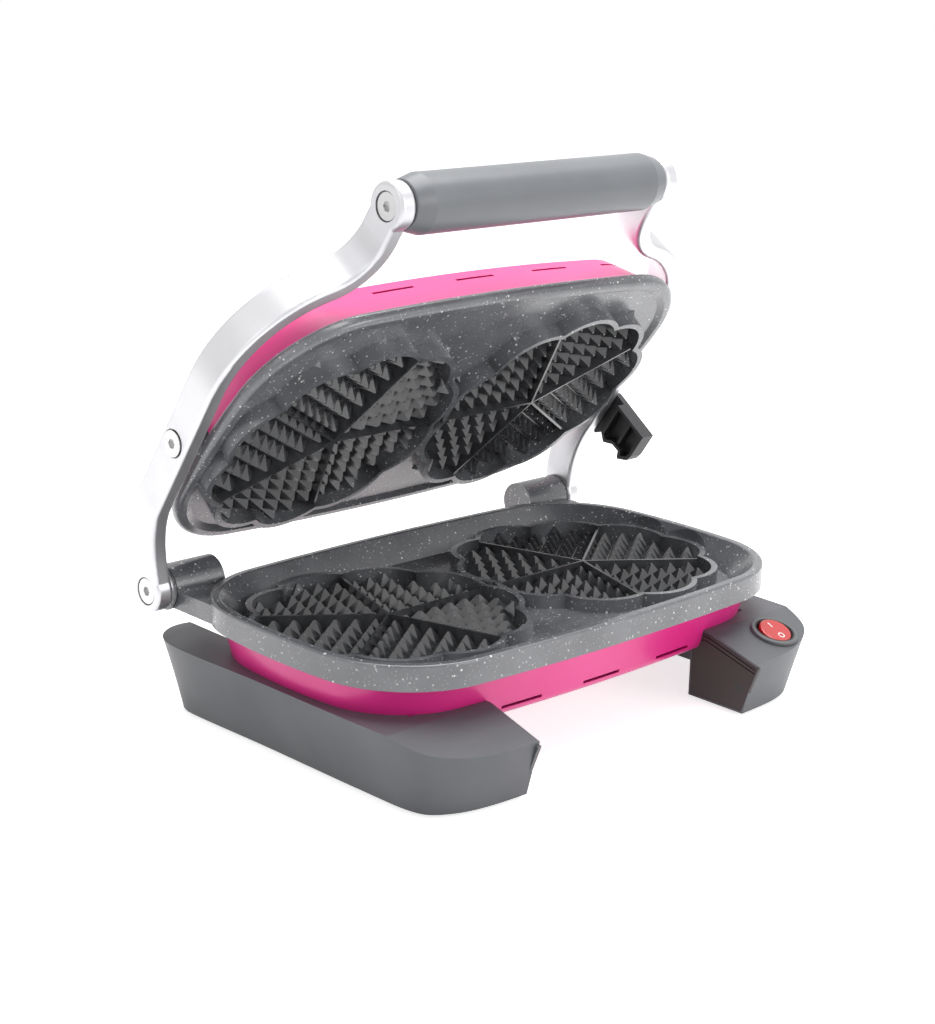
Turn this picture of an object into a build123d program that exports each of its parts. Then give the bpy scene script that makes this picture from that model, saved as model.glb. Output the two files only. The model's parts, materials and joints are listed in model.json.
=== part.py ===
from build123d import *
import os
from math import acos, atan2, cos, degrees, hypot, pi, radians, sin, tan

# Double waffle maker with its lid raised. Millimetres, +Z up, +Y to the back.
# The origin is on the table, under the middle of the object's box.

os.makedirs("parts", exist_ok=True)

# Clearances
slide_gap = 0.3
pin_gap = 0.05

# Where the drawing sits front to back
shift = 6.3

# Outline shared by both cast plates
plate_half_x = 132.9
plate_half_y = 82.55
plate_bow_x = 8.0
plate_bow_y = 6.5
plate_corner = 50.0
plate_y = shift - 8.9

# Lower plate heights
lower_rim_z = 62.0
lower_skirt_z = 50.5
lower_seat_z = 51.0
lower_dish_z = 50.0
lower_pocket_z = 48.0
lower_back_z = 44.0
lip_width = 4.0
lip_run = 10.0
skirt_width = 3.2
lower_slab_half_x = 125.6
lower_slab_half_y = 70.8
lower_ledge_z = 47.0
lower_ledge = (127.0, 72.1, 43.0)

# Upper plate heights, as they are with the lid shut
upper_rim_z = 62.4
upper_dish_z = 64.4
upper_pocket_z = 64.8
upper_recess_z = 70.0
upper_flange_z = 69.0
upper_back_z = 74.0
upper_lip = 5.0
upper_lip_run = 3.0
upper_recess_inset = 16.0
upper_slab_half_x = 126.0
upper_slab_half_y = 71.0
upper_edge = 2.8

# Waffle relief, five hearts to a flower
flower_x = 63.3
flower_ahead = 3.9
flower_cusp_r = 57.5
flower_lobe_r = 63.0
flower_wall = 3.0
flower_clear = 4.0
hearts = 5
wall_height = 8.2
rib_height = 6.8
rib_foot = 2.4
rib_crest = 1.2
tooth_pitch = 9.2
tooth_fill = 0.94
tooth_tip = 0.1
tooth_height = 6.0
tooth_rows = 8

# Pan and lid cover, pressed from sheet
sheet = 1.2
pan_top_half_x = 129.0
pan_top_half_y = 74.5
pan_low_half_x = 125.0
pan_low_half_y = 68.5
pan_floor_z = 25.5
pan_round = 6.0
cover_low_half_x = 130.2
cover_low_half_y = 77.0
cover_top_half_x = 124.0
cover_top_half_y = 61.4
cover_top_z = 96.0
cover_round = 3.0
vent_length = 23.5
vent_height = 1.5
vent_pitch = 49.0
pan_vent_z = 30.5
cover_vent_z = 88.0

# Hinge
hinge_y = shift + 78.7
hinge_z = 59.4
barrel_r = 10.5
barrel_in = 100.0
barrel_out = 127.4
web_in = 103.0
web_out = 126.0
web_front = shift + 40.0
web_z = 50.5
washer_out = 128.7
washer_r = 9.0
hinge_pin_r = 3.0
hinge_pin_in = 108.0
hinge_eye_r = 10.0
head_r = 6.0
head_recess_r = 6.6
head_recess = 3.0
head_thickness = 2.4
socket_r = 2.4
socket_depth = 1.4

# Arms, seen from the side and from above; distances run from the lid pin
arm_open = 57.6
lid_open = 48.4
arm_lean = 34.2
arm_width = 17.5
arm_thickness = 8.0
arm_knee_r = 60.0
arm_mid_x = 139.0
arm_hinge_x = 133.0
arm_handle_x = 81.0
arm_splay_from = -74.5
arm_splay_to = -37.5
arm_splay_r = 30.0
arm_bend_from = 35.0
arm_bend_r = 55.5
arm_return_r = 27.0
arm_edge = 1.8
eye_reach = 128.0
eye_r = 10.7

# Lid pins
pin_closed_y = shift - 3.3
pin_closed_z = 73.4
pin_r = 3.0
pin_in = 122.0
boss_r = 7.5
boss_in = 120.5
pin_recess = 2.0

# Handle
grip_r = 13.25
grip_half = 76.7
grip_end_r = 10.9
grip_cone = 8.5
grip_round = 0.8
rod_r = 5.0
handle_bolt_r = 2.5
handle_bolt_depth = 14.0

# Height lever, measured from its pivot on the right arm
lever_back = 31.5
lever_ear_r = 8.5
lever_plate = 3.3
lever_length = 37.6
lever_half = 14.0
lever_tray_start = 14.6
lever_tray_depth = 4.8
lever_wall = 1.8
lever_pin_r = 2.5
lever_head_r = 4.2
lever_recess_r = 4.8
lever_recess = 1.6
lever_head = 1.2

# Feet
foot_top_z = 36.5
foot_low_z = 2.0
foot_inner = 70.8
rail_inner = 108.0
toe_front = shift - 112.6
toe_back = shift - 70.5
foot_back = shift + 85.5
foot_side = 131.5
foot_tail_x = 134.0
foot_wall = 2.4
foot_draft = 9.0
slope_from = shift - 80.5
slope_angle = 15.8
toe_plate = 2.0
toe_rim = 1.0
toe_screw_z = 14.0
toe_screw_back = 12.0
base_thickness = 2.0
base_gap = 0.15
pad_r = 7.0
pad_peg_r = 3.0
toe_pad = (92.0, shift - 88.0)
tail_pad = (115.0, shift + 68.0)

# Switch, on the right foot's slope
switch_x = 102.5
switch_ahead = 14.75
bezel_r = 11.6
bezel_hole_r = 9.1
bezel_height = 1.8
switch_r = 9.9
switch_depth = 14.0
switch_pocket = 6.0
rocker_r = 8.1
rocker_top = 2.2
rocker_bottom = 3.4
rocker_tilt = 8.0
rocker_pin_r = 1.0
rocker_pin_depth = 1.8

# Heating elements and their shields
element_r = 3.25
element_half_x = 90.0
element_half_y = 36.0
element_bend = 26.0
element_gap = 16.0
terminal_r = 1.2
terminal_length = 5.0
shield_half_x = 98.0
shield_half_y = 46.0
shield_thickness = 0.8
thermostat_r = 9.0
thermostat_height = 5.5
fuse_r = 1.8
fuse_length = 16.0

# Fasteners and posts
chassis_x = 114.2
chassis_y = 38.0
post_r = 4.5
chassis_r = 1.9
chassis_head_r = 3.6
chassis_head = 2.0
chassis_low_z = 12.0
chassis_bite = 10.0
small_r = 1.4
small_head_r = 2.6
small_head = 1.4
small_bite = 8.0
cover_post_x = 96.0
cover_post_y = 42.0
brace_y = shift - 56.0
brace_width = 14.0
brace_thickness = 3.0
brace_screw_x = 60.0

# Cord gland and terminal block
gland_x = 118.0
gland_z = 16.0
gland_r = 5.0
gland_flange_r = 7.0
gland_hole_r = 3.2
block_length = 14.0
block_x = 97.0
block_width = 11.0
block_height = 9.0


# Points and planes that follow from the sizes

lean = radians(arm_lean)
hinge = (hinge_y, hinge_z)
flower_y = plate_y + flower_ahead


def turned(point, centre, angle):
    """A (y, z) point turned about another by an angle in degrees about +X."""
    a = radians(angle)
    y = point[0] - centre[0]
    z = point[1] - centre[1]
    return (centre[0] + y * cos(a) - z * sin(a), centre[1] + y * sin(a) + z * cos(a))


pin = turned((pin_closed_y, pin_closed_z), hinge, -arm_open)
shut_origin = turned((pin[0] - pin_closed_y, pin[1] - pin_closed_z), pin, -lid_open)
tip = radians(lid_open)
ground = Plane.XY
lid_plane = Plane((0, shut_origin[0], shut_origin[1]), x_dir=(1, 0, 0), z_dir=(0, sin(tip), cos(tip)))

lid_axis = Axis(lid_plane.origin, lid_plane.z_dir)


def on_arm(along, across=0.0):
    """Point (y, z) at a distance along and across the arm from the lid pin."""
    y = pin[0] - along * sin(lean) + across * cos(lean)
    z = pin[1] + along * cos(lean) + across * sin(lean)
    return (y, z)


knee = on_arm(-(hinge_y - pin[0]) / sin(lean))
eye = on_arm(eye_reach)
lever_pivot = on_arm(-lever_back)
arm_plan = Plane((0, pin[0], pin[1]), x_dir=(0, -sin(lean), cos(lean)), z_dir=(0, cos(lean), sin(lean)))
lever_x = arm_mid_x + arm_thickness / 2 + slide_gap + lever_plate
lever_plane = Plane(
    (lever_x, lever_pivot[0], lever_pivot[1]),
    x_dir=(0, -sin(lean), cos(lean)),
    z_dir=(-1, 0, 0),
)
slope = radians(slope_angle)
slope_plane = Plane((0, slope_from, foot_top_z), x_dir=(1, 0, 0), z_dir=(0, -sin(slope), cos(slope)))
switch_plane = Plane(
    (switch_x, slope_from - switch_ahead * cos(slope), foot_top_z - switch_ahead * sin(slope)),
    x_dir=(1, 0, 0),
    z_dir=(0, -sin(slope), cos(slope)),
)


# Shapes used more than once

def level(base, z, y=plate_y):
    """A plane at a height above a base plane, centred at a depth y."""
    return Plane(base.from_local_coords((0, y, z)), x_dir=base.x_dir, z_dir=base.z_dir)


def pillow(half_x, half_y, corner):
    """Outline with four bowed sides and round corners, centred in the open sketch."""
    x = half_x - plate_bow_x
    y = half_y - plate_bow_y
    with BuildLine() as outline:
        ThreePointArc((-x, -y), (0, -half_y), (x, -y))
        ThreePointArc((x, -y), (half_x, 0), (x, y))
        ThreePointArc((x, y), (0, half_y), (-x, y))
        ThreePointArc((-x, y), (-half_x, 0), (-x, -y))
    make_face(outline.edges())
    fillet(vertices(), corner)


def slab(base, z_from, z_to, half_x, half_y, corner, mode=Mode.ADD):
    """Flat body with the bowed outline between two heights."""
    with BuildSketch(level(base, z_from)) as outline:
        pillow(half_x, half_y, corner)
    extrude(outline.sketch, amount=z_to - z_from, mode=mode)


def dish(base, z_from, from_half, z_to, to_half, mode=Mode.ADD):
    """Body with sloping sides; each half is (half_x, half_y, corner)."""
    with BuildSketch(level(base, z_from)) as first:
        pillow(*from_half)
    with BuildSketch(level(base, z_to)) as last:
        pillow(*to_half)
    loft([first.sketch, last.sketch], ruled=True, mode=mode)


def rim(inset):
    """Half sizes and corner of the plates' outline drawn in by an inset."""
    return (plate_half_x - inset, plate_half_y - inset, plate_corner - inset)


def flower(grow):
    """Outline of a flower of five hearts, two lobes to a heart."""
    step = 180 / hearts
    cusp = flower_cusp_r + grow
    lobe = flower_lobe_r + grow
    with BuildLine() as outline:
        for k in range(2 * hearts):
            a = radians(step * k)
            b = radians(step * (k + 0.5))
            c = radians(step * (k + 1))
            ThreePointArc(
                (cusp * cos(a), cusp * sin(a)),
                (lobe * cos(b), lobe * sin(b)),
                (cusp * cos(c), cusp * sin(c)),
            )
    make_face(outline.edges())


def flowers(base, z_from, z_to, grow, hollow=0.0, mode=Mode.ADD):
    """Both flowers as solids, or as walls of a given thickness."""
    for side in (-1, 1):
        centre = Plane(base.from_local_coords((side * flower_x, flower_y, z_from)), x_dir=-side * base.x_dir,
                       z_dir=base.z_dir)
        with BuildSketch(centre) as outline:
            flower(grow)
            if hollow:
                with BuildSketch(mode=Mode.PRIVATE) as inside:
                    flower(grow - hollow)
                add(inside.sketch_local, mode=Mode.SUBTRACT)
        extrude(outline.sketch, amount=z_to - z_from, mode=mode)


def bar_x(y, z, x_from, x_to, radius, mode=Mode.ADD):
    """Round bar along X."""
    with BuildSketch(Plane.YZ.offset(x_from)) as end:
        with Locations((y, z)):
            Circle(radius)
    extrude(end.sketch, amount=x_to - x_from, mode=mode)


def bar_z(x, y, z_from, z_to, radius, base=ground, mode=Mode.ADD):
    """Round bar along a base plane's Z."""
    with BuildSketch(base.offset(z_from)) as end:
        with Locations((x, y)):
            Circle(radius)
    extrude(end.sketch, amount=z_to - z_from, mode=mode)


def block(x, y, z, mode=Mode.ADD, base=ground):
    """Box given as three (from, to) pairs."""
    with BuildSketch(base.offset(z[0])) as foot:
        with Locations(((x[0] + x[1]) / 2, (y[0] + y[1]) / 2)):
            Rectangle(x[1] - x[0], y[1] - y[0])
    extrude(foot.sketch, amount=z[1] - z[0], mode=mode)


def flower_radius(angle):
    """Inner radius of a flower at an angle."""
    return flower_cusp_r + (flower_lobe_r - flower_cusp_r) * abs(sin(hearts * angle))


# One waffle tooth, a pyramid on the rhombus of a heart's grid

heart = 2 * pi / hearts
half_tooth = tooth_pitch * tooth_fill / 2
rhombus = []
for u, v in ((-1, -1), (1, -1), (1, 1), (-1, 1)):
    rhombus.append((half_tooth * (u + v * cos(heart)), half_tooth * v * sin(heart)))

with BuildPart() as tooth:
    with BuildSketch():
        Polygon(*rhombus, align=None)
    with BuildSketch(Plane.XY.offset(tooth_height)):
        Polygon(*[(tooth_tip * x, tooth_tip * y) for x, y in rhombus], align=None)
    loft(ruled=True)

with BuildPart() as tooth_other:
    mirror(tooth.part, about=Plane.XZ)


def teeth(base, z, up):
    """All the teeth of a plate, standing on a height and pointing up or down."""
    placed = []
    for side in (-1, 1):
        shape = tooth.part if side < 0 else tooth_other.part
        if up < 0:
            shape = shape.mirror(Plane.XY)
        for k in range(hearts):
            a = heart * k if side < 0 else pi - heart * k
            b = a - side * heart
            for i in range(tooth_rows):
                for j in range(tooth_rows):
                    p = tooth_pitch * (i + 0.5)
                    q = tooth_pitch * (j + 0.5)
                    x = p * cos(a) + q * cos(b)
                    y = p * sin(a) + q * sin(b)
                    if hypot(x, y) < flower_radius(atan2(y, x)) - 1:
                        spot = Location((side * flower_x + x, flower_y + y, z), (0, 0, degrees(a)))
                        placed.append(base.location * spot * shape.solid())
    return placed


def ribs(base, z, up):
    """Low ribs between the hearts, each a thin wedge from the flower's middle."""
    for side in (-1, 1):
        for k in range(hearts):
            a = heart * k if side < 0 else pi - heart * k
            out = base.from_local_coords((cos(a), sin(a), 0)) - base.origin
            across = base.from_local_coords((-sin(a), cos(a), 0)) - base.origin
            middle = base.from_local_coords((side * flower_x, flower_y, z))
            with BuildSketch(Plane(middle, x_dir=across, z_dir=out)) as wedge:
                Polygon(
                    (-rib_foot / 2, 0),
                    (rib_foot / 2, 0),
                    (rib_crest / 2, up * rib_height),
                    (-rib_crest / 2, up * rib_height),
                    align=None,
                )
            extrude(wedge.sketch, amount=flower_cusp_r + flower_wall / 2)


# Outside and inside of the pan under the lower plate

with BuildPart() as pan_form:
    dish(
        ground,
        pan_floor_z,
        (pan_low_half_x, pan_low_half_y, plate_corner - 8),
        lower_seat_z,
        (pan_top_half_x, pan_top_half_y, plate_corner - 6),
    )
    fillet(edges().group_by(Axis.Z)[0], pan_round)

with BuildPart() as pan_void:
    dish(
        ground,
        pan_floor_z + sheet,
        (pan_low_half_x - sheet, pan_low_half_y - sheet, plate_corner - 8 - sheet),
        lower_seat_z,
        (pan_top_half_x - sheet, pan_top_half_y - sheet, plate_corner - 6 - sheet),
    )
    fillet(edges().group_by(Axis.Z)[0], pan_round - sheet)

with BuildPart() as pan_shell:
    add(pan_form.part)
    add(pan_void.part, mode=Mode.SUBTRACT)


# Room for the pan's upper edge, between the plate's ledge and its skirt

with BuildPart() as pan_room:
    slab(ground, lower_ledge_z, lower_skirt_z, *rim(0))
    slab(ground, lower_skirt_z, lower_seat_z, *rim(skirt_width))
    slab(ground, lower_ledge_z, lower_seat_z, *lower_ledge, mode=Mode.SUBTRACT)


# Lower cast plate with its rim, flowers, hinge barrels and posts

with BuildPart() as lower_plate:
    slab(ground, lower_skirt_z, lower_rim_z, *rim(0))
    for side in (-1, 1):
        block(
            sorted((side * web_in, side * web_out)),
            (web_front, hinge_y),
            (web_z, hinge_z),
        )
        bar_x(hinge_y, hinge_z, side * barrel_in, side * barrel_out, barrel_r)
    slab(ground, lower_skirt_z, lower_seat_z, *rim(skirt_width), mode=Mode.SUBTRACT)
    slab(ground, lower_back_z, lower_dish_z, lower_slab_half_x, lower_slab_half_y, plate_corner - 8)
    slab(ground, lower_ledge_z, lower_seat_z, *lower_ledge)
    for side in (-1, 1):
        for end in (-1, 1):
            bar_z(side * chassis_x, plate_y + end * chassis_y, lower_back_z, pan_floor_z + sheet, post_r)
    add(pan_shell.part, mode=Mode.SUBTRACT)
    dish(ground, lower_dish_z, rim(lip_width + lip_run), lower_rim_z, rim(lip_width), mode=Mode.SUBTRACT)
    fillet(edges().filter_by(lambda e: abs(e.center().Z - lower_rim_z) < 0.01), 1.2)
    flowers(ground, lower_pocket_z + wall_height, lower_rim_z + 5, flower_clear, mode=Mode.SUBTRACT)
    flowers(ground, lower_pocket_z, lower_pocket_z + wall_height, flower_wall)
    flowers(ground, lower_pocket_z, lower_rim_z, 0, mode=Mode.SUBTRACT)
    ribs(ground, lower_pocket_z, 1)
    add(teeth(ground, lower_pocket_z, 1))
    add(pan_room.part, mode=Mode.SUBTRACT)
    for side in (-1, 1):
        for end in (-1, 1):
            x = side * chassis_x
            y = plate_y + end * chassis_y
            bar_z(x, y, pan_floor_z + sheet, pan_floor_z + sheet + chassis_bite, chassis_r, mode=Mode.SUBTRACT)
        bar_x(hinge_y, hinge_z, side * hinge_pin_in, side * barrel_out, hinge_pin_r, mode=Mode.SUBTRACT)
lower_plate.part.label = "lower_plate"
export_step(lower_plate.part, "parts/lower_plate.step")


# Upper cast plate, drawn shut and placed on the raised lid's plane

with BuildPart() as upper_plate:
    slab(lid_plane, upper_rim_z, upper_flange_z, *rim(0))
    fillet(edges().group_by(lid_axis)[0] + edges().group_by(lid_axis)[-1], upper_edge)
    slab(lid_plane, upper_flange_z, upper_back_z, upper_slab_half_x, upper_slab_half_y, plate_corner - 8)
    for side in (-1, 1):
        bar_x(pin[0], pin[1], side * boss_in, side * (arm_mid_x - arm_thickness / 2 - slide_gap), boss_r)
    dish(lid_plane, upper_dish_z, rim(upper_lip + upper_lip_run), upper_rim_z, rim(upper_lip), mode=Mode.SUBTRACT)
    slab(lid_plane, upper_recess_z, upper_back_z + 9, *rim(upper_recess_inset), mode=Mode.SUBTRACT)
    flowers(lid_plane, upper_pocket_z, upper_pocket_z - wall_height, flower_wall)
    flowers(lid_plane, upper_pocket_z, upper_pocket_z - wall_height, 0, mode=Mode.SUBTRACT)
    ribs(lid_plane, upper_pocket_z, -1)
    add(teeth(lid_plane, upper_pocket_z, -1))
    for side in (-1, 1):
        for end in (-1, 1):
            x = side * cover_post_x
            y = plate_y + end * cover_post_y
            bar_z(x, y, upper_recess_z, cover_top_z - sheet, post_r, base=lid_plane)
            bar_z(x, y, cover_top_z - sheet - small_bite, cover_top_z - sheet, small_r, base=lid_plane,
                  mode=Mode.SUBTRACT)
        bar_x(pin[0], pin[1], side * pin_in, side * arm_mid_x, pin_r, mode=Mode.SUBTRACT)
upper_plate.part.label = "upper_plate"
export_step(upper_plate.part, "parts/upper_plate.step")


# Pan under the lower plate

with BuildPart() as lower_pan:
    add(pan_shell.part)
    for x in (-vent_pitch, 0, vent_pitch):
        for end in (-1, 1):
            y = sorted((plate_y + end * (pan_low_half_y - 6), plate_y + end * (pan_top_half_y + 4)))
            block((x - vent_length / 2, x + vent_length / 2), y,
                  (pan_vent_z - vent_height / 2, pan_vent_z + vent_height / 2), mode=Mode.SUBTRACT)
    for side in (-1, 1):
        for end in (-1, 1):
            bar_z(side * chassis_x, plate_y + end * chassis_y, pan_floor_z, pan_floor_z + 4 * sheet, chassis_r,
                  mode=Mode.SUBTRACT)
        bar_z(side * brace_screw_x, brace_y, pan_floor_z, pan_floor_z + sheet, chassis_r, mode=Mode.SUBTRACT)
lower_pan.part.label = "lower_pan"
export_step(lower_pan.part, "parts/lower_pan.step")


# Cover on the upper plate

cover_height = cover_top_z - upper_flange_z
cover_wall = sheet * hypot(1, (cover_low_half_y - cover_top_half_y) / cover_height)
void_share = sheet / cover_height

with BuildPart() as cover_form:
    dish(
        lid_plane,
        upper_flange_z,
        (cover_low_half_x, cover_low_half_y, plate_corner - 6),
        cover_top_z,
        (cover_top_half_x, cover_top_half_y, plate_corner - 14),
    )
    fillet(edges().group_by(lid_axis)[-1], cover_round)

with BuildPart() as cover_void:
    dish(
        lid_plane,
        upper_flange_z,
        (cover_low_half_x - sheet, cover_low_half_y - cover_wall, plate_corner - 7),
        cover_top_z - sheet,
        (
            cover_top_half_x - sheet + void_share * (cover_low_half_x - cover_top_half_x),
            cover_top_half_y - cover_wall + void_share * (cover_low_half_y - cover_top_half_y),
            plate_corner - 15,
        ),
    )
    fillet(edges().group_by(lid_axis)[-1], cover_round - sheet)

with BuildPart() as lid_cover:
    add(cover_form.part)
    add(cover_void.part, mode=Mode.SUBTRACT)
    for k in range(-2, 3):
        for end in (-1, 1):
            y = sorted((plate_y + end * (cover_top_half_y - 6), plate_y + end * (cover_low_half_y + 2)))
            block((k * vent_pitch - vent_length / 2, k * vent_pitch + vent_length / 2), y,
                  (cover_vent_z - vent_height / 2, cover_vent_z + vent_height / 2), mode=Mode.SUBTRACT,
                  base=lid_plane)
    for side in (-1, 1):
        notch = sorted((side * (cover_top_half_x - 8), side * (cover_low_half_x + 2)))
        block(notch, (pin_closed_y - boss_r - 1, pin_closed_y + boss_r + 1),
              (upper_flange_z, pin_closed_z + boss_r + 1), mode=Mode.SUBTRACT, base=lid_plane)
        for end in (-1, 1):
            x = side * cover_post_x
            y = plate_y + end * cover_post_y
            bar_z(x, y, cover_top_z - sheet, cover_top_z, small_r, base=lid_plane, mode=Mode.SUBTRACT)
lid_cover.part.label = "lid_cover"
export_step(lid_cover.part, "parts/lid_cover.step")


# Arms, each the side view crossed with the view from above

hinge_along = (hinge_z - pin[1]) * cos(lean) - (hinge_y - pin[0]) * sin(lean)

bend_turn = degrees(acos(1 - (arm_mid_x - arm_handle_x) / (arm_bend_r + arm_return_r)))

with BuildPart() as right_arm:
    with BuildSketch(Plane.YZ) as side_view:
        with BuildLine() as spine:
            FilletPolyline(hinge, knee, eye, radius=arm_knee_r)
        trace(spine.edges(), line_width=arm_width)
        with Locations(hinge):
            Circle(hinge_eye_r)
        with Locations(eye):
            Circle(eye_r)
    extrude(amount=arm_mid_x + 2 * arm_thickness)
    with BuildSketch(arm_plan) as from_above:
        with BuildLine() as run:
            lead = FilletPolyline(
                (hinge_along - 2 * hinge_eye_r, arm_hinge_x),
                (arm_splay_from, arm_hinge_x),
                (arm_splay_to, arm_mid_x),
                (arm_bend_from, arm_mid_x),
                radius=arm_splay_r,
            )
            inward = JernArc(lead @ 1, (1, 0), arm_bend_r, -bend_turn)
            onward = JernArc(inward @ 1, inward % 1, arm_return_r, bend_turn)
            Line(onward @ 1, (eye_reach + 2 * eye_r, arm_handle_x))
        trace(run.edges(), line_width=arm_thickness)
    extrude(amount=2 * arm_width, both=True, mode=Mode.INTERSECT)
    fillet(edges(), arm_edge)
    bar_x(hinge_y, hinge_z, arm_hinge_x - arm_thickness, arm_hinge_x + arm_thickness, hinge_pin_r + pin_gap,
          mode=Mode.SUBTRACT)
    hinge_face = arm_hinge_x + arm_thickness / 2
    bar_x(hinge_y, hinge_z, hinge_face - head_recess, hinge_face + 5, head_recess_r, mode=Mode.SUBTRACT)
    pin_face = arm_mid_x + arm_thickness / 2
    bar_x(pin[0], pin[1], arm_mid_x - arm_thickness, arm_mid_x + arm_thickness, pin_r + pin_gap, mode=Mode.SUBTRACT)
    bar_x(pin[0], pin[1], pin_face - pin_recess, pin_face + 5, head_recess_r, mode=Mode.SUBTRACT)
    eye_face = arm_handle_x + arm_thickness / 2
    bar_x(eye[0], eye[1], arm_handle_x - arm_thickness, arm_handle_x + arm_thickness, handle_bolt_r,
          mode=Mode.SUBTRACT)
    bar_x(eye[0], eye[1], eye_face - head_recess, eye_face + 5, head_recess_r, mode=Mode.SUBTRACT)

with BuildPart() as left_arm:
    mirror(right_arm.part, about=Plane.YZ)
left_arm.part.label = "left_arm"
export_step(left_arm.part, "parts/left_arm.step")

with BuildPart() as right_arm_bored:
    add(right_arm.part)
    bar_x(lever_pivot[0], lever_pivot[1], arm_mid_x - 1, pin_face + 1, lever_pin_r, mode=Mode.SUBTRACT)
right_arm_bored.part.label = "right_arm"
export_step(right_arm_bored.part, "parts/right_arm.step")


# Handle between the arms

grip_gap_x = arm_handle_x - arm_thickness / 2

with BuildPart() as handle_grip:
    with BuildSketch(Plane.XY.offset(eye[1])):
        Polygon(
            (-grip_half, eye[0]),
            (-grip_half, eye[0] + grip_end_r),
            (-grip_half + grip_cone, eye[0] + grip_r),
            (grip_half - grip_cone, eye[0] + grip_r),
            (grip_half, eye[0] + grip_end_r),
            (grip_half, eye[0]),
            align=None,
        )
    revolve(axis=Axis((0, eye[0], eye[1]), (1, 0, 0)))
    fillet(edges().filter_by(GeomType.CIRCLE), grip_round)
    bar_x(eye[0], eye[1], -grip_half, grip_half, rod_r, mode=Mode.SUBTRACT)
handle_grip.part.label = "handle_grip"
export_step(handle_grip.part, "parts/handle_grip.step")

with BuildPart() as handle_rod:
    bar_x(eye[0], eye[1], -grip_gap_x, grip_gap_x, rod_r)
    for side in (-1, 1):
        bar_x(eye[0], eye[1], side * (grip_gap_x - handle_bolt_depth), side * grip_gap_x, handle_bolt_r,
              mode=Mode.SUBTRACT)
handle_rod.part.label = "handle_rod"
export_step(handle_rod.part, "parts/handle_rod.step")


def cap_screw(y, z, side, tip_x, seat_x, shaft, head):
    """Socket screw along X: a shaft to its seat and a round head with a hexagon socket."""
    bar_x(y, z, side * tip_x, side * seat_x, shaft)
    bar_x(y, z, side * seat_x, side * (seat_x + head_thickness), head)
    with BuildSketch(Plane.YZ.offset(side * (seat_x + head_thickness))) as socket:
        with Locations((y, z)):
            RegularPolygon(socket_r, 6)
    extrude(socket.sketch, amount=-side * socket_depth, mode=Mode.SUBTRACT)


with BuildPart() as handle_screws:
    for side in (-1, 1):
        cap_screw(eye[0], eye[1], side, grip_gap_x - handle_bolt_depth, eye_face - head_recess, handle_bolt_r, head_r)
handle_screws.part.label = "handle_screws"
export_step(handle_screws.part, "parts/handle_screws.step")

with BuildPart() as hinge_screws:
    for side in (-1, 1):
        seat = hinge_face - head_recess + slide_gap
        cap_screw(hinge_y, hinge_z, side, hinge_pin_in, seat, hinge_pin_r, head_r)
hinge_screws.part.label = "hinge_screws"
export_step(hinge_screws.part, "parts/hinge_screws.step")

with BuildPart() as lid_pin_screws:
    for side in (-1, 1):
        seat = pin_face - pin_recess + slide_gap
        cap_screw(pin[0], pin[1], side, pin_in, seat, pin_r, head_r)
lid_pin_screws.part.label = "lid_pin_screws"
export_step(lid_pin_screws.part, "parts/lid_pin_screws.step")

with BuildPart() as hinge_washers:
    for side in (-1, 1):
        bar_x(hinge_y, hinge_z, side * barrel_out, side * washer_out, washer_r)
        bar_x(hinge_y, hinge_z, side * barrel_out, side * washer_out, hinge_pin_r, mode=Mode.SUBTRACT)
hinge_washers.part.label = "hinge_washers"
export_step(hinge_washers.part, "parts/hinge_washers.step")


# Height lever and its screw

with BuildPart() as height_lever:
    with BuildSketch(lever_plane) as ear:
        Circle(lever_ear_r)
        Polygon(
            (lever_half, -lever_ear_r + 1.4),
            (lever_half - 1.5, -lever_length),
            (-1.7, -lever_length),
            (-5.6, 1 - lever_length),
            (-9.9, 6.5 - lever_length),
            (-6, 8.5 - lever_length),
            (-6, 13.5 - lever_length),
            (-9.7, 19 - lever_length),
            (-6.6, 23 - lever_length),
            (-lever_half, -lever_ear_r),
            (-lever_ear_r, 0),
            (lever_ear_r, 0),
            align=None,
        )
    extrude(amount=lever_plate)
    with BuildSketch(lever_plane.offset(lever_plate)) as tray:
        Polygon(
            (lever_half - 0.4, -lever_tray_start),
            (lever_half - 1.5, -lever_length),
            (-1.7, -lever_length),
            (-5.6, 1 - lever_length),
            (-9.9, 6.5 - lever_length),
            (-6, 8.5 - lever_length),
            (-6, 13.5 - lever_length),
            (-9.7, 19 - lever_length),
            (-6.6, -lever_tray_start),
            align=None,
        )
        offset(amount=-lever_wall, mode=Mode.SUBTRACT)
    extrude(amount=lever_tray_depth)
    with BuildSketch(lever_plane.offset(lever_plate)) as divider:
        with Locations((3.2, (-lever_tray_start - lever_length) / 2)):
            Rectangle(16, lever_wall)
    extrude(amount=lever_tray_depth - 1)
    with BuildSketch(lever_plane) as recess:
        Circle(lever_recess_r)
    extrude(amount=lever_recess, mode=Mode.SUBTRACT)
    with BuildSketch(lever_plane) as bore:
        Circle(lever_pin_r + pin_gap)
    extrude(amount=lever_plate, mode=Mode.SUBTRACT)
height_lever.part.label = "height_lever"
export_step(height_lever.part, "parts/height_lever.step")

with BuildPart() as lever_screw:
    seat = lever_x - lever_recess + slide_gap
    bar_x(lever_pivot[0], lever_pivot[1], arm_mid_x - 1, seat, lever_pin_r)
    bar_x(lever_pivot[0], lever_pivot[1], seat, seat + lever_head, lever_head_r)
lever_screw.part.label = "lever_screw"
export_step(lever_screw.part, "parts/lever_screw.step")


# Feet: one housing each side, open below, with a base plate and a toe plate

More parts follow.
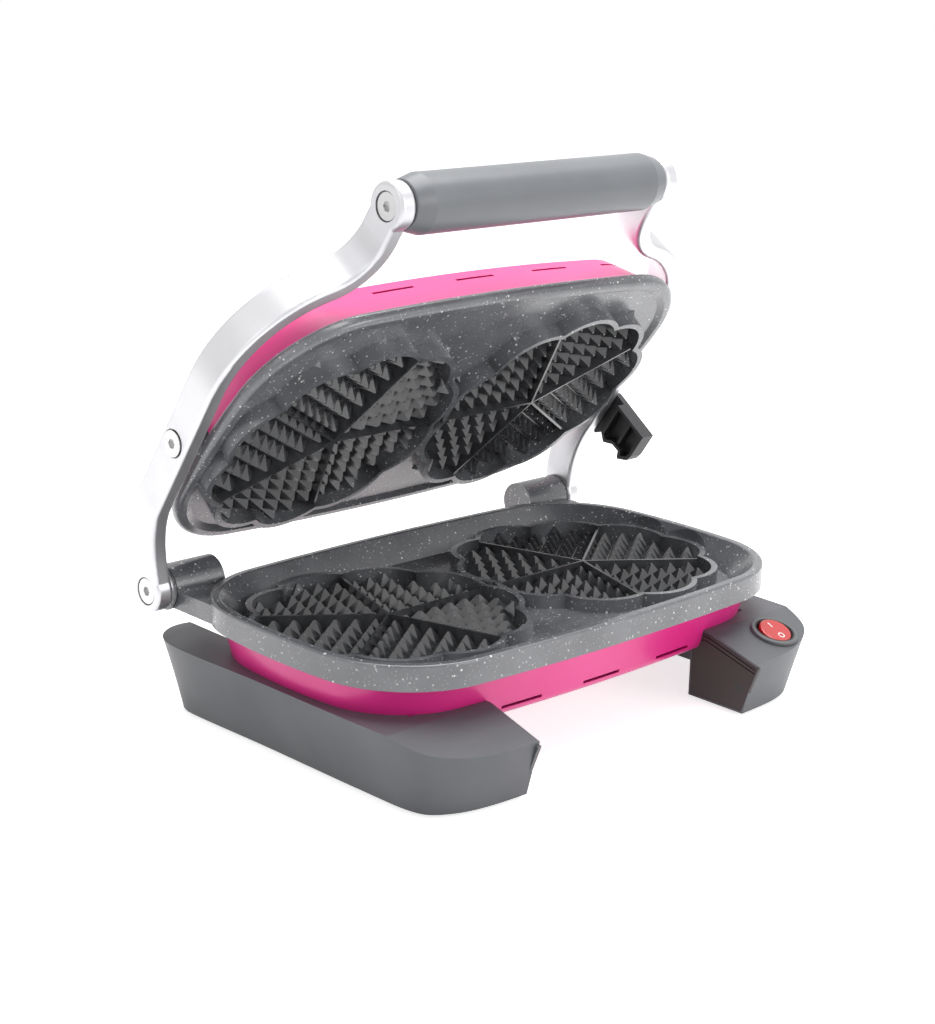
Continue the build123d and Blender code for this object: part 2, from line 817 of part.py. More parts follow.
outer_side = [
    (foot_inner, toe_front),
    (83.0, toe_front + 0.5),
    (95.0, toe_front + 1.6),
    (105.0, toe_front + 3.7),
    (117.0, toe_front + 9.0),
    (124.5, toe_front + 15.7),
    (foot_side - 3.0, toe_front + 25.6),
    (foot_side - 1.4, toe_front + 42.6),
    (foot_side - 0.4, toe_front + 76.6),
    (foot_side + 0.8, toe_front + 127.6),
    (foot_tail_x, foot_back - 29.0),
    (foot_tail_x - 3.5, foot_back - 10.0),
    (foot_tail_x - 12.0, foot_back - 1.5),
    (rail_inner, foot_back),
]


def drawn_in(points, inset):
    """Points of the outer side moved inward by an inset, square to the curve."""
    moved = []
    for k, (x, y) in enumerate(points):
        before = points[max(k - 1, 0)]
        after = points[min(k + 1, len(points) - 1)]
        run = hypot(after[0] - before[0], after[1] - before[1])
        if k == 0:
            moved.append((x, y + inset))
        elif k == len(points) - 1:
            moved.append((x, y - inset))
        else:
            moved.append((x - inset * (after[1] - before[1]) / run, y + inset * (after[0] - before[0]) / run))
    return moved


def foot_plan(outer_inset, inner_inset):
    """Plan of the right foot, the outer side and the inner sides drawn in."""
    curve = drawn_in(outer_side, outer_inset)
    toe_inset = inner_inset + toe_plate if inner_inset else 0
    start = (foot_inner + toe_inset, curve[0][1])
    stop = (rail_inner + inner_inset, curve[-1][1])
    with BuildLine() as outline:
        Spline(start, *curve[1:-1], stop)
        Polyline(
            stop,
            (rail_inner + inner_inset, toe_back - inner_inset),
            (foot_inner + toe_inset, toe_back - inner_inset),
            start,
        )
    make_face(outline.edges())


def foot_body(z_low, z_high, wall):
    """Drafted body of the right foot, drawn in by a wall."""
    with BuildSketch(ground.offset(z_low)) as low:
        foot_plan(foot_draft + wall, wall)
    with BuildSketch(ground.offset(z_high)) as high:
        foot_plan(wall, wall)
    loft([low.sketch, high.sketch], ruled=True)


def slope_cut(drop):
    """Takes away what lies above the toe's slope, less a drop."""
    with BuildSketch(slope_plane.offset(-drop)) as over:
        with Locations((100, -50)):
            Rectangle(120, 100 + 2 * drop)
    extrude(over.sketch, amount=40, mode=Mode.SUBTRACT)


def cheek(inset):
    """Side view of the toe, drawn in by an inset, in an open sketch on YZ."""
    front_drop = (slope_from - toe_front) * tan(slope)
    Polygon(
        (toe_front + foot_draft + inset, foot_low_z + inset),
        (toe_back - inset, foot_low_z + inset),
        (toe_back - inset, foot_top_z - inset),
        (slope_from, foot_top_z - inset),
        (toe_front + inset, foot_top_z - front_drop - inset),
        align=None,
    )


with BuildPart() as pan_seat:
    dish(
        ground,
        pan_floor_z - foot_wall,
        (pan_low_half_x + foot_wall, pan_low_half_y + foot_wall, plate_corner - 6),
        lower_seat_z,
        (pan_top_half_x + foot_wall, pan_top_half_y + foot_wall, plate_corner - 4),
    )

with BuildPart() as foot_void:
    foot_body(foot_low_z, foot_top_z - foot_wall, foot_wall)
    slope_cut(foot_wall)
    add(pan_seat.part, mode=Mode.SUBTRACT)

gland_y = foot_back - foot_draft * (foot_top_z - gland_z) / (foot_top_z - foot_low_z)
toe_post = (84.0, slope_from - 6)
tail_post = (116.0, foot_back - 30)

with BuildPart() as plain_foot:
    foot_body(foot_low_z, foot_top_z, 0)
    add(foot_void.part, mode=Mode.SUBTRACT)
    for end in (-1, 1):
        bar_z(chassis_x, plate_y + end * chassis_y, chassis_low_z, pan_floor_z - 0.5, post_r)
    for x, y in (toe_post, tail_post):
        bar_z(x, y, foot_low_z + base_thickness, foot_top_z - 0.5, post_r - 1)
    slope_cut(0)
    add(pan_form.part, mode=Mode.SUBTRACT)
    for end in (-1, 1):
        bar_z(chassis_x, plate_y + end * chassis_y, chassis_low_z, pan_floor_z, chassis_r, mode=Mode.SUBTRACT)
    for x, y in (toe_post, tail_post):
        bar_z(x, y, foot_low_z + base_thickness, foot_low_z + base_thickness + small_bite, small_r,
              mode=Mode.SUBTRACT)
    with BuildSketch(Plane.YZ.offset(foot_inner)) as pocket:
        cheek(toe_rim)
    extrude(amount=toe_plate, mode=Mode.SUBTRACT)
    bar_x(toe_front + toe_screw_back, toe_screw_z, foot_inner, foot_inner + toe_plate + foot_wall, small_r,
          mode=Mode.SUBTRACT)

with BuildPart() as left_foot_housing:
    mirror(plain_foot.part, about=Plane.YZ)
left_foot_housing.part.label = "left_foot_housing"
export_step(left_foot_housing.part, "parts/left_foot_housing.step")

with BuildPart() as right_foot_housing:
    add(plain_foot.part)
    with BuildSketch(switch_plane.offset(-2 * foot_wall)):
        Circle(switch_r)
    extrude(amount=4 * foot_wall, mode=Mode.SUBTRACT)
    with BuildSketch(Plane.XZ.offset(-gland_y + 2 * foot_wall)):
        with Locations((gland_x, gland_z)):
            Circle(gland_r)
    extrude(amount=-4 * foot_wall, mode=Mode.SUBTRACT)
right_foot_housing.part.label = "right_foot_housing"
export_step(right_foot_housing.part, "parts/right_foot_housing.step")


# Base plates under the feet, with holes for the screws and the pads' pegs

with BuildPart() as right_base_cover:
    with BuildSketch(ground.offset(foot_low_z)) as plate:
        foot_plan(foot_draft + foot_wall + base_gap, foot_wall + base_gap)
    extrude(amount=base_thickness)
    for x, y in (toe_post, tail_post):
        bar_z(x, y, foot_low_z, foot_low_z + base_thickness, small_r, mode=Mode.SUBTRACT)
        bar_z(x, y, foot_low_z, foot_low_z + small_head, small_head_r, mode=Mode.SUBTRACT)
    for x, y in (toe_pad, tail_pad):
        bar_z(x, y, foot_low_z, foot_low_z + base_thickness, pad_peg_r, mode=Mode.SUBTRACT)
right_base_cover.part.label = "right_base_cover"
export_step(right_base_cover.part, "parts/right_base_cover.step")

with BuildPart() as left_base_cover:
    mirror(right_base_cover.part, about=Plane.YZ)
left_base_cover.part.label = "left_base_cover"
export_step(left_base_cover.part, "parts/left_base_cover.step")

with BuildPart() as base_cover_screws:
    for side in (-1, 1):
        for x, y in (toe_post, tail_post):
            bar_z(side * x, y, foot_low_z, foot_low_z + small_head, small_head_r)
            bar_z(side * x, y, foot_low_z, foot_low_z + base_thickness + small_bite, small_r)
base_cover_screws.part.label = "base_cover_screws"
export_step(base_cover_screws.part, "parts/base_cover_screws.step")

with BuildPart() as rubber_feet:
    for side in (-1, 1):
        for x, y in (toe_pad, tail_pad):
            bar_z(side * x, y, 0, foot_low_z, pad_r)
            bar_z(side * x, y, foot_low_z, foot_low_z + base_thickness + 1, pad_peg_r)
rubber_feet.part.label = "rubber_feet"
export_step(rubber_feet.part, "parts/rubber_feet.step")

with BuildPart() as right_toe_cover:
    with BuildSketch(Plane.YZ.offset(foot_inner)) as plate:
        cheek(toe_rim + base_gap)
    extrude(amount=toe_plate)
    for drop in (2.5, 4.6):
        front_z = foot_top_z - (slope_from - toe_front - 3) * tan(slope) - drop
        with BuildSketch(Plane.YZ.offset(foot_inner)) as groove:
            Polygon(
                (toe_front + 3, front_z),
                (toe_front + 3, front_z - 0.6),
                (slope_from, foot_top_z - drop - 0.6),
                (toe_back - 3, foot_top_z - drop - 0.6),
                (toe_back - 3, foot_top_z - drop),
                (slope_from, foot_top_z - drop),
                align=None,
            )
        extrude(amount=0.5, mode=Mode.SUBTRACT)
    screw_y = toe_front + toe_screw_back
    bar_x(screw_y, toe_screw_z, foot_inner, foot_inner + toe_plate, small_r, mode=Mode.SUBTRACT)
    bar_x(screw_y, toe_screw_z, foot_inner, foot_inner + small_head, small_head_r, mode=Mode.SUBTRACT)
    add(pan_form.part, mode=Mode.SUBTRACT)
right_toe_cover.part.label = "right_toe_cover"
export_step(right_toe_cover.part, "parts/right_toe_cover.step")

with BuildPart() as left_toe_cover:
    mirror(right_toe_cover.part, about=Plane.YZ)
left_toe_cover.part.label = "left_toe_cover"
export_step(left_toe_cover.part, "parts/left_toe_cover.step")

with BuildPart() as toe_screws:
    for side in (-1, 1):
        bar_x(screw_y, toe_screw_z, side * foot_inner, side * (foot_inner + small_head), small_head_r)
        bar_x(screw_y, toe_screw_z, side * foot_inner, side * (foot_inner + toe_plate + foot_wall), small_r)
toe_screws.part.label = "toe_screws"
export_step(toe_screws.part, "parts/toe_screws.step")


# Screws that hold the pan and feet to the plate, and the brace between the feet

with BuildPart() as chassis_screws:
    for side in (-1, 1):
        for end in (-1, 1):
            x = side * chassis_x
            y = plate_y + end * chassis_y
            bar_z(x, y, chassis_low_z - chassis_head, chassis_low_z, chassis_head_r)
            bar_z(x, y, chassis_low_z, pan_floor_z + sheet + chassis_bite, chassis_r)
chassis_screws.part.label = "chassis_screws"
export_step(chassis_screws.part, "parts/chassis_screws.step")

with BuildPart() as cross_member:
    block(
        (-rail_inner, rail_inner),
        (brace_y - brace_width / 2, brace_y + brace_width / 2),
        (pan_floor_z - brace_thickness, pan_floor_z),
    )
    for side in (-1, 1):
        bar_z(side * brace_screw_x, brace_y, pan_floor_z - brace_thickness, pan_floor_z, chassis_r,
              mode=Mode.SUBTRACT)
cross_member.part.label = "cross_member"
export_step(cross_member.part, "parts/cross_member.step")

with BuildPart() as brace_screws:
    for side in (-1, 1):
        x = side * brace_screw_x
        bar_z(x, brace_y, pan_floor_z - brace_thickness - chassis_head, pan_floor_z - brace_thickness, chassis_head_r)
        bar_z(x, brace_y, pan_floor_z - brace_thickness, pan_floor_z + 4, chassis_r)
brace_screws.part.label = "brace_screws"
export_step(brace_screws.part, "parts/brace_screws.step")

with BuildPart() as lid_cover_screws:
    for side in (-1, 1):
        for end in (-1, 1):
            x = side * cover_post_x
            y = plate_y + end * cover_post_y
            bar_z(x, y, cover_top_z, cover_top_z + small_head, small_head_r, base=lid_plane)
            bar_z(x, y, cover_top_z - sheet - small_bite, cover_top_z, small_r, base=lid_plane)
lid_cover_screws.part.label = "lid_cover_screws"
export_step(lid_cover_screws.part, "parts/lid_cover_screws.step")


# Heating elements, shields, thermostats and the thermal fuse

def element(base, z):
    """Tubular loop with a gap at the back and a thin terminal at each end."""
    back = plate_y + element_half_y
    front = plate_y - element_half_y
    middle = base.offset(z)
    with BuildLine(middle) as loop:
        FilletPolyline(
            (-element_gap / 2, back),
            (-element_half_x, back),
            (-element_half_x, front),
            (element_half_x, front),
            (element_half_x, back),
            (element_gap / 2, back),
            radius=element_bend,
        )
    start = Plane(middle.from_local_coords((-element_gap / 2, back, 0)), z_dir=(-1, 0, 0))
    with BuildSketch(start) as tube:
        Circle(element_r)
    sweep(tube.sketch, path=loop.wires()[0])
    for side in (-1, 1):
        end = Plane(middle.from_local_coords((side * element_gap / 2, back, 0)), z_dir=(-side, 0, 0))
        with BuildSketch(end) as terminal:
            Circle(terminal_r)
        extrude(terminal.sketch, amount=terminal_length)


with BuildPart() as lower_heating_element:
    element(ground, lower_back_z - element_r)
lower_heating_element.part.label = "lower_heating_element"
export_step(lower_heating_element.part, "parts/lower_heating_element.step")

with BuildPart() as upper_heating_element:
    element(lid_plane, upper_recess_z + element_r)
upper_heating_element.part.label = "upper_heating_element"
export_step(upper_heating_element.part, "parts/upper_heating_element.step")

shield_y = (plate_y - shield_half_y, plate_y + shield_half_y)
lower_shield_z = lower_back_z - 2 * element_r
upper_shield_z = upper_recess_z + 2 * element_r

with BuildPart() as lower_reflector:
    block((-shield_half_x, shield_half_x), shield_y, (lower_shield_z - shield_thickness, lower_shield_z))
    fillet(edges().filter_by(Axis.Z), 12)
lower_reflector.part.label = "lower_reflector"
export_step(lower_reflector.part, "parts/lower_reflector.step")

with BuildPart() as upper_reflector:
    block((-shield_half_x, shield_half_x), shield_y, (upper_shield_z, upper_shield_z + shield_thickness),
          base=lid_plane)
    for side in (-1, 1):
        for end in (-1, 1):
            bar_z(side * cover_post_x, plate_y + end * cover_post_y, upper_shield_z,
                  upper_shield_z + shield_thickness, post_r + 1, base=lid_plane, mode=Mode.SUBTRACT)
upper_reflector.part.label = "upper_reflector"
export_step(upper_reflector.part, "parts/upper_reflector.step")

with BuildPart() as lower_thermostat:
    bar_z(0, plate_y, lower_back_z, lower_back_z - thermostat_height, thermostat_r)
    block((-thermostat_r - 6, thermostat_r + 6), (plate_y - 3, plate_y + 3), (lower_back_z - 1.5, lower_back_z))
lower_thermostat.part.label = "lower_thermostat"
export_step(lower_thermostat.part, "parts/lower_thermostat.step")

with BuildPart() as upper_thermostat:
    bar_z(0, plate_y, upper_recess_z, upper_recess_z + thermostat_height, thermostat_r, base=lid_plane)
    block((-thermostat_r - 6, thermostat_r + 6), (plate_y - 3, plate_y + 3), (upper_recess_z, upper_recess_z + 1.5),
          base=lid_plane)
upper_thermostat.part.label = "upper_thermostat"
export_step(upper_thermostat.part, "parts/upper_thermostat.step")

with BuildPart() as thermal_fuse:
    bar_x(plate_y + 14, lower_back_z - fuse_r, -fuse_length / 2, fuse_length / 2, fuse_r)
    block((-3, 3), (plate_y + 14 - fuse_r, plate_y + 14 + fuse_r), (lower_back_z - fuse_r, lower_back_z))
thermal_fuse.part.label = "thermal_fuse"
export_step(thermal_fuse.part, "parts/thermal_fuse.step")


# Switch: body, bezel and rocker

with BuildPart() as switch_body:
    with BuildSketch(switch_plane.offset(-switch_depth)):
        Circle(switch_r)
    extrude(amount=switch_depth)
    with BuildSketch(switch_plane.offset(-switch_pocket)):
        Circle(bezel_hole_r - 0.2)
    extrude(amount=switch_pocket, mode=Mode.SUBTRACT)
    across = Plane(switch_plane.from_local_coords((0, 0, -rocker_pin_depth)), z_dir=(1, 0, 0))
    with BuildSketch(across):
        Circle(rocker_pin_r + pin_gap)
    extrude(amount=switch_r - 0.3, both=True, mode=Mode.SUBTRACT)
switch_body.part.label = "switch_body"
export_step(switch_body.part, "parts/switch_body.step")

with BuildPart() as switch_bezel:
    with BuildSketch(switch_plane):
        Circle(bezel_r)
        Circle(bezel_hole_r, mode=Mode.SUBTRACT)
    extrude(amount=bezel_height)
    fillet(edges().filter_by(GeomType.CIRCLE).sort_by(SortBy.RADIUS)[-2:].sort_by(Axis.Z)[-1], 0.8)
switch_bezel.part.label = "switch_bezel"
export_step(switch_bezel.part, "parts/switch_bezel.step")

rocker_pivot = switch_plane.from_local_coords((0, 0, -rocker_pin_depth))
tilted = radians(slope_angle + rocker_tilt)
rocker_plane = Plane(rocker_pivot, x_dir=(1, 0, 0), z_dir=(0, -sin(tilted), cos(tilted)))

with BuildPart() as rocker:
    with BuildSketch(rocker_plane.offset(rocker_pin_depth - rocker_bottom)):
        Circle(rocker_r)
    extrude(amount=rocker_bottom + rocker_top)
    fillet(edges().filter_by(GeomType.CIRCLE), 0.8)
    with BuildSketch(Plane(rocker_pivot, z_dir=(1, 0, 0))):
        Circle(rocker_pin_r)
    extrude(amount=switch_r - 0.6, both=True)
rocker.part.label = "rocker"
export_step(rocker.part, "parts/rocker.step")


# Cord gland in the back of the right foot, and the terminal block on its base plate

with BuildPart() as cord_gland:
    with BuildSketch(Plane.XZ.offset(-gland_y - 1)):
        with Locations((gland_x, gland_z)):
            Circle(gland_r)
    extrude(amount=3 * foot_wall + 1)
    with BuildSketch(Plane.XZ.offset(-gland_y - 2.6)):
        with Locations((gland_x, gland_z)):
            Circle(gland_flange_r)
    extrude(amount=3.2)
    with BuildSketch(Plane.XZ.offset(-gland_y - 4)):
        with Locations((gland_x, gland_z)):
            Circle(gland_hole_r)
    extrude(amount=8 * foot_wall, mode=Mode.SUBTRACT)
    add(right_foot_housing.part, mode=Mode.SUBTRACT)
cord_gland.part.label = "cord_gland"
export_step(cord_gland.part, "parts/cord_gland.step")

block_y = slope_from - 0.5
with BuildPart() as terminal_block:
    block(
        (block_x, block_x + block_length),
        (block_y - block_width / 2, block_y + block_width / 2),
        (foot_low_z + base_thickness, foot_low_z + base_thickness + block_height),
    )
    for k in (1, 3):
        bar_z(block_x + k * block_length / 4, block_y, foot_low_z + base_thickness + block_height - 4,
              foot_low_z + base_thickness + block_height, 1.8, mode=Mode.SUBTRACT)
terminal_block.part.label = "terminal_block"
export_step(terminal_block.part, "parts/terminal_block.step")
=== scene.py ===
import json
from math import cos, pi, radians, sin

import bpy
from mathutils import Matrix, Vector


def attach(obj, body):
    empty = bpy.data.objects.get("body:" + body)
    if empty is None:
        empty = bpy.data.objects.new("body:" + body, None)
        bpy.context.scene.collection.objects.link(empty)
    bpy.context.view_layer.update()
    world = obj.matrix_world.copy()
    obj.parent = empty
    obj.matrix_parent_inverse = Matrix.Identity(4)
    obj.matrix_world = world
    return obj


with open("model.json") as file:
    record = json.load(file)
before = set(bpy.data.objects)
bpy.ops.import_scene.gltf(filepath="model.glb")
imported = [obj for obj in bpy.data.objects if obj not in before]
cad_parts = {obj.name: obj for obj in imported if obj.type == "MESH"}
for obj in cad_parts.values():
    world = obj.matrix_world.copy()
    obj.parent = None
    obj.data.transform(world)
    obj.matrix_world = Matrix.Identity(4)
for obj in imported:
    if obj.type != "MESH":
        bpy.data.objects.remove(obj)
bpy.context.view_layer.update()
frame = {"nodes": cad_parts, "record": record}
nodes = frame["nodes"]
scene = bpy.context.scene

# Places on the part in millimetres: depth and height, or all three
HINGE = (85.0, 59.4)
PIN = (52.8828, 136.1365)
PIN_SHUT = (3.0, 73.4)
LID_ANGLE = radians(48.4)

# The toe's slope with the switch on it, and the rocker's own tilt at rest
SLOPE = radians(15.8)
SLOPE_TOP = (-74.2, 36.5)
SWITCH_DOWN = 14.75
SWITCH = (
    102.5,
    SLOPE_TOP[0] - SWITCH_DOWN * cos(SLOPE),
    SLOPE_TOP[1] - SWITCH_DOWN * sin(SLOPE),
)
ROCKER_TILT = SLOPE + radians(8.0)
ROCKER_SINK = 1.8
ROCKER_RISE = 2.2

# The flowers' middles and edges in metres, with the lid laid shut; inside them the coating gets
# painted shade
FLOWER_X = 0.0633
FLOWER_Y = 0.0013
FLOWER_INSIDE = 0.0575
FLOWER_OUTSIDE = 0.0625

# Colours of the coating and of the painted shade inside the flowers, and the coating's flecks:
# cell scale, size, share left out and colour
DARK_COAT = (0.115, 0.119, 0.13)
PALE_COAT = (0.165, 0.17, 0.183)
FLOWER_SHADE_DARK = (0.030, 0.031, 0.034)
FLOWER_SHADE_PALE = (0.055, 0.056, 0.061)
FLECKS = (
    (520.0, 0.26, 0.74, (0.55, 0.55, 0.55)),
    (330.0, 0.20, 0.80, (0.85, 0.84, 0.82)),
    (900.0, 0.30, 0.70, (0.32, 0.32, 0.33)),
)

# Printed marks, and dark lines of painted shade, in millimetres
MARK_OFFSET = 3.9
MARK_HEIGHT = 0.05
MARK_BAR = (0.35, 1.6)
MARK_RING = (1.15, 1.75)
BEZEL_LINE = (9.15, 9.75)
BEZEL_LINE_RISE = 1.75
BEZEL_LINE_HEIGHT = 0.1
BARREL_LINE = (10.45, 10.62)
BARREL_LINE_X = 126.9
BARREL_LINE_WIDTH = 0.5

# Camera fitted to the photograph: azimuth, elevation and roll in degrees, place in metres
CAMERA_TURN = (-43.385, 16.03, 1.256)
CAMERA_PLACE = (-0.63589, -0.66129 + 0.0063, 0.35334)
CAMERA_LENS = 71.545
CAMERA_SENSOR = 36.0

# Floor and light; each light has its name, place, aim, width, depth and watts
FLOOR_SHADE = 0.90
FLOOR_GLOW = 0.75
FLOOR_HALF = 6
WORLD_LIGHT = 0.38
WORLD_GLOSS = 1.1
LIGHTS = (
    ("top", (0.25, 0.1, 1.5), (0, 0, 0.1), 1.3, 1.3, 26.0),
    ("front", (0.5, -1.6, 0.7), (0, 0, 0.1), 0.9, 0.7, 9.0),
    ("left", (-1.4, -0.1, 0.9), (0, 0, 0.12), 0.7, 0.7, 2.0),
)


# Materials

def new_material(name):
    material = bpy.data.materials.new(name)
    material.use_nodes = True
    tree = material.node_tree
    return material, tree, tree.nodes["Principled BSDF"]


def node(tree, kind, **values):
    made = tree.nodes.new(kind)
    for key, value in values.items():
        setattr(made, key, value)
    return made


def noise(tree, coordinates, scale, detail=3.0, roughness=0.55):
    made = node(tree, "ShaderNodeTexNoise")
    made.inputs["Scale"].default_value = scale
    made.inputs["Detail"].default_value = detail
    made.inputs["Roughness"].default_value = roughness
    tree.links.new(coordinates, made.inputs["Vector"])
    return made.outputs["Fac"]


def span(tree, value, low, high, to_low, to_high):
    made = node(tree, "ShaderNodeMapRange")
    made.inputs["From Min"].default_value = low
    made.inputs["From Max"].default_value = high
    made.inputs["To Min"].default_value = to_low
    made.inputs["To Max"].default_value = to_high
    tree.links.new(value, made.inputs["Value"])
    return made.outputs["Result"]


def mix(tree, factor, first, second):
    made = node(tree, "ShaderNodeMix", data_type="RGBA")
    tree.links.new(factor, made.inputs["Factor"])
    for socket, colour in ((made.inputs[6], first), (made.inputs[7], second)):
        if isinstance(colour, tuple):
            socket.default_value = (*colour, 1.0)
        else:
            tree.links.new(colour, socket)
    return made.outputs[2]


def bump(tree, shader, height, strength, distance):
    made = node(tree, "ShaderNodeBump")
    made.inputs["Strength"].default_value = strength
    made.inputs["Distance"].default_value = distance
    tree.links.new(height, made.inputs["Height"])
    tree.links.new(made.outputs["Normal"], shader.inputs["Normal"])


def object_space(tree):
    return node(tree, "ShaderNodeTexCoord").outputs["Object"]


def surface(name, colour, other, roughness, metallic=0.0, grain=1500.0, coat=0.0):
    """Paint, plastic or metal with slow colour change, fine grain and uneven gloss."""
    material, tree, shader = new_material(name)
    space = object_space(tree)
    slow = noise(tree, space, 18.0, 4.0)
    fine = noise(tree, space, grain, 2.0)
    patches = span(tree, slow, 0.35, 0.65, 0.0, 1.0)
    tree.links.new(mix(tree, patches, colour, other), shader.inputs["Base Color"])
    gloss = span(tree, slow, 0.3, 0.7, roughness - 0.04, roughness + 0.05)
    tree.links.new(gloss, shader.inputs["Roughness"])
    shader.inputs["Metallic"].default_value = metallic
    shader.inputs["Coat Weight"].default_value = coat
    shader.inputs["Coat Roughness"].default_value = 0.12
    bump(tree, shader, fine, 0.35, 0.00003)
    return material


def flower_shade_mask(tree, space, shift, angle):
    """Where painted shade goes: 1 inside the flowers and 0 outside, by the distance to a
    flower's middle.
    """
    laid = node(tree, "ShaderNodeMapping", vector_type="POINT")
    laid.inputs["Rotation"].default_value = (angle, 0.0, 0.0)
    laid.inputs["Location"].default_value = (0.0, shift[0], shift[1])
    tree.links.new(space, laid.inputs["Vector"])
    parts = node(tree, "ShaderNodeSeparateXYZ")
    tree.links.new(laid.outputs["Vector"], parts.inputs["Vector"])
    fold = node(tree, "ShaderNodeMath", operation="ABSOLUTE")
    tree.links.new(parts.outputs["X"], fold.inputs[0])
    flat = node(tree, "ShaderNodeCombineXYZ")
    tree.links.new(fold.outputs["Value"], flat.inputs["X"])
    tree.links.new(parts.outputs["Y"], flat.inputs["Y"])
    reach = node(tree, "ShaderNodeVectorMath", operation="DISTANCE")
    reach.inputs[1].default_value = (FLOWER_X, FLOWER_Y, 0.0)
    tree.links.new(flat.outputs["Vector"], reach.inputs[0])
    return span(tree, reach.outputs["Value"], FLOWER_INSIDE, FLOWER_OUTSIDE, 1.0, 0.0)


def granite(name, shift=(0.0, 0.0), angle=0.0):
    """Dark non-stick coating with pale flecks; inside the flowers plain and darker, painted
    shade for the gaps between the teeth.
    """
    material, tree, shader = new_material(name)
    space = object_space(tree)
    inside = flower_shade_mask(tree, space, shift, angle)
    patches = span(tree, noise(tree, space, 40.0), 0.35, 0.65, 0.0, 1.0)
    colour = mix(tree, patches, DARK_COAT, PALE_COAT)
    for scale, size, amount, fleck in FLECKS:
        cells = node(tree, "ShaderNodeTexVoronoi", feature="F1")
        cells.inputs["Scale"].default_value = scale
        cells.inputs["Randomness"].default_value = 1.0
        tree.links.new(space, cells.inputs["Vector"])
        apart = node(tree, "ShaderNodeSeparateColor")
        tree.links.new(cells.outputs["Color"], apart.inputs["Color"])
        chosen = span(tree, apart.outputs["Red"], amount, amount + 0.02, 0.0, 1.0)
        dot = span(tree, cells.outputs["Distance"], size * 0.7, size, 1.0, 0.0)
        both = node(tree, "ShaderNodeMath", operation="MULTIPLY")
        tree.links.new(chosen, both.inputs[0])
        tree.links.new(dot, both.inputs[1])
        colour = mix(tree, both.outputs["Value"], colour, fleck)
    slow = noise(tree, space, 60.0)
    # Painted shade: inside the flowers the coating is a darker, plain colour, standing in for
    # the shade between the teeth
    flower_shade = mix(tree, span(tree, slow, 0.35, 0.65, 0.0, 1.0), FLOWER_SHADE_DARK, FLOWER_SHADE_PALE)
    tree.links.new(mix(tree, inside, colour, flower_shade), shader.inputs["Base Color"])
    tree.links.new(span(tree, slow, 0.3, 0.7, 0.20, 0.29), shader.inputs["Roughness"])
    shader.inputs["Specular IOR Level"].default_value = 0.9
    bump(tree, shader, noise(tree, space, 900.0), 0.3, 0.00004)
    return material


# Metres by which the turned lid has to move for its pin to be where it is when shut; they place
# the painted shade in the lid's flowers
lid_shift = (
    (PIN_SHUT[0] - PIN[0] * cos(LID_ANGLE) + PIN[1] * sin(LID_ANGLE)) / 1000,
    (PIN_SHUT[1] - PIN[0] * sin(LID_ANGLE) - PIN[1] * cos(LID_ANGLE)) / 1000,
)

SURFACES = (
    ("pink_paint", "pink paint", (0.86, 0.028, 0.29), (0.80, 0.022, 0.25), 0.34,
     {"coat": 0.25, "grain": 700.0}),
    ("grey_plastic", "grey plastic", (0.115, 0.12, 0.13), (0.095, 0.10, 0.11), 0.46, {}),
    ("brown_plastic", "brown plastic", (0.028, 0.021, 0.019), (0.038, 0.029, 0.026), 0.52, {}),
    ("satin_aluminium", "satin aluminium", (0.66, 0.66, 0.68), (0.58, 0.58, 0.60), 0.36,
     {"metallic": 0.8, "grain": 900.0}),
    ("steel", "zinc steel", (0.62, 0.62, 0.62), (0.50, 0.50, 0.50), 0.28, {"metallic": 1.0}),
    ("black_steel", "black steel", (0.02, 0.02, 0.02), (0.03, 0.03, 0.03), 0.5, {}),
    ("element_steel", "heated steel", (0.34, 0.28, 0.24), (0.22, 0.19, 0.18), 0.42,
     {"metallic": 1.0}),
    ("shield_steel", "plain steel", (0.66, 0.66, 0.66), (0.55, 0.55, 0.55), 0.3,
     {"metallic": 1.0}),
    ("rubber", "rubber", (0.018, 0.018, 0.018), (0.028, 0.028, 0.028), 0.75, {}),
    ("dark_plastic", "dark plastic", (0.03, 0.03, 0.033), (0.042, 0.042, 0.045), 0.5, {}),
    ("bezel_plastic", "bezel plastic", (0.13, 0.135, 0.14), (0.10, 0.105, 0.11), 0.42, {}),
    ("red_plastic", "red plastic", (0.62, 0.012, 0.012), (0.50, 0.008, 0.008), 0.18,
     {"coat": 0.8}),
    ("ceramic", "ceramic", (0.78, 0.76, 0.71), (0.70, 0.68, 0.63), 0.5, {}),
)
looks = {"granite_coating": granite("granite coating")}
for slot, title, colour, other, roughness, more in SURFACES:
    looks[slot] = surface(title, colour, other, roughness, **more)
mark_white = surface("white mark", (0.85, 0.85, 0.83), (0.78, 0.78, 0.76), 0.4)
# A near black for painted shade: the gap inside the bezel and the barrels' outer ends
shadow_black = surface("painted recess shade", (0.012, 0.012, 0.013), (0.018, 0.018, 0.019), 0.6)

special = {
    # Painted light: the grip is the feet's grey plastic, made lighter for the light falling on
    # it from above
    "handle_grip": surface("grey plastic lit lighter on the grip", (0.19, 0.20, 0.215), (0.165, 0.173, 0.187), 0.36),
    "upper_plate": granite("granite coating on the lid", lid_shift, LID_ANGLE),
    "toe_screws": looks["black_steel"],
    # Painted light: the left toe cover is a lighter grey than its mirrored twin on the right,
    # which keeps the brown plastic
    "left_toe_cover": surface("left toe cover painted lighter", (0.10, 0.105, 0.11), (0.085, 0.09, 0.095), 0.5),
}
for entry in frame["record"]["subparts"]:
    target = nodes[entry["node"]]
    target.data.materials.clear()
    target.data.materials.append(special.get(entry["node"], looks[entry["material_slot"]]))


# Extra pieces

def mesh_piece(name, points, faces, material, body):
    mesh = bpy.data.meshes.new(name)
    mesh.from_pydata([tuple(p) for p in points], [], faces)
    mesh.update()
    made = bpy.data.objects.new(name, mesh)
    scene.collection.objects.link(made)
    made.data.materials.append(material)
    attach(made, body)
    return made


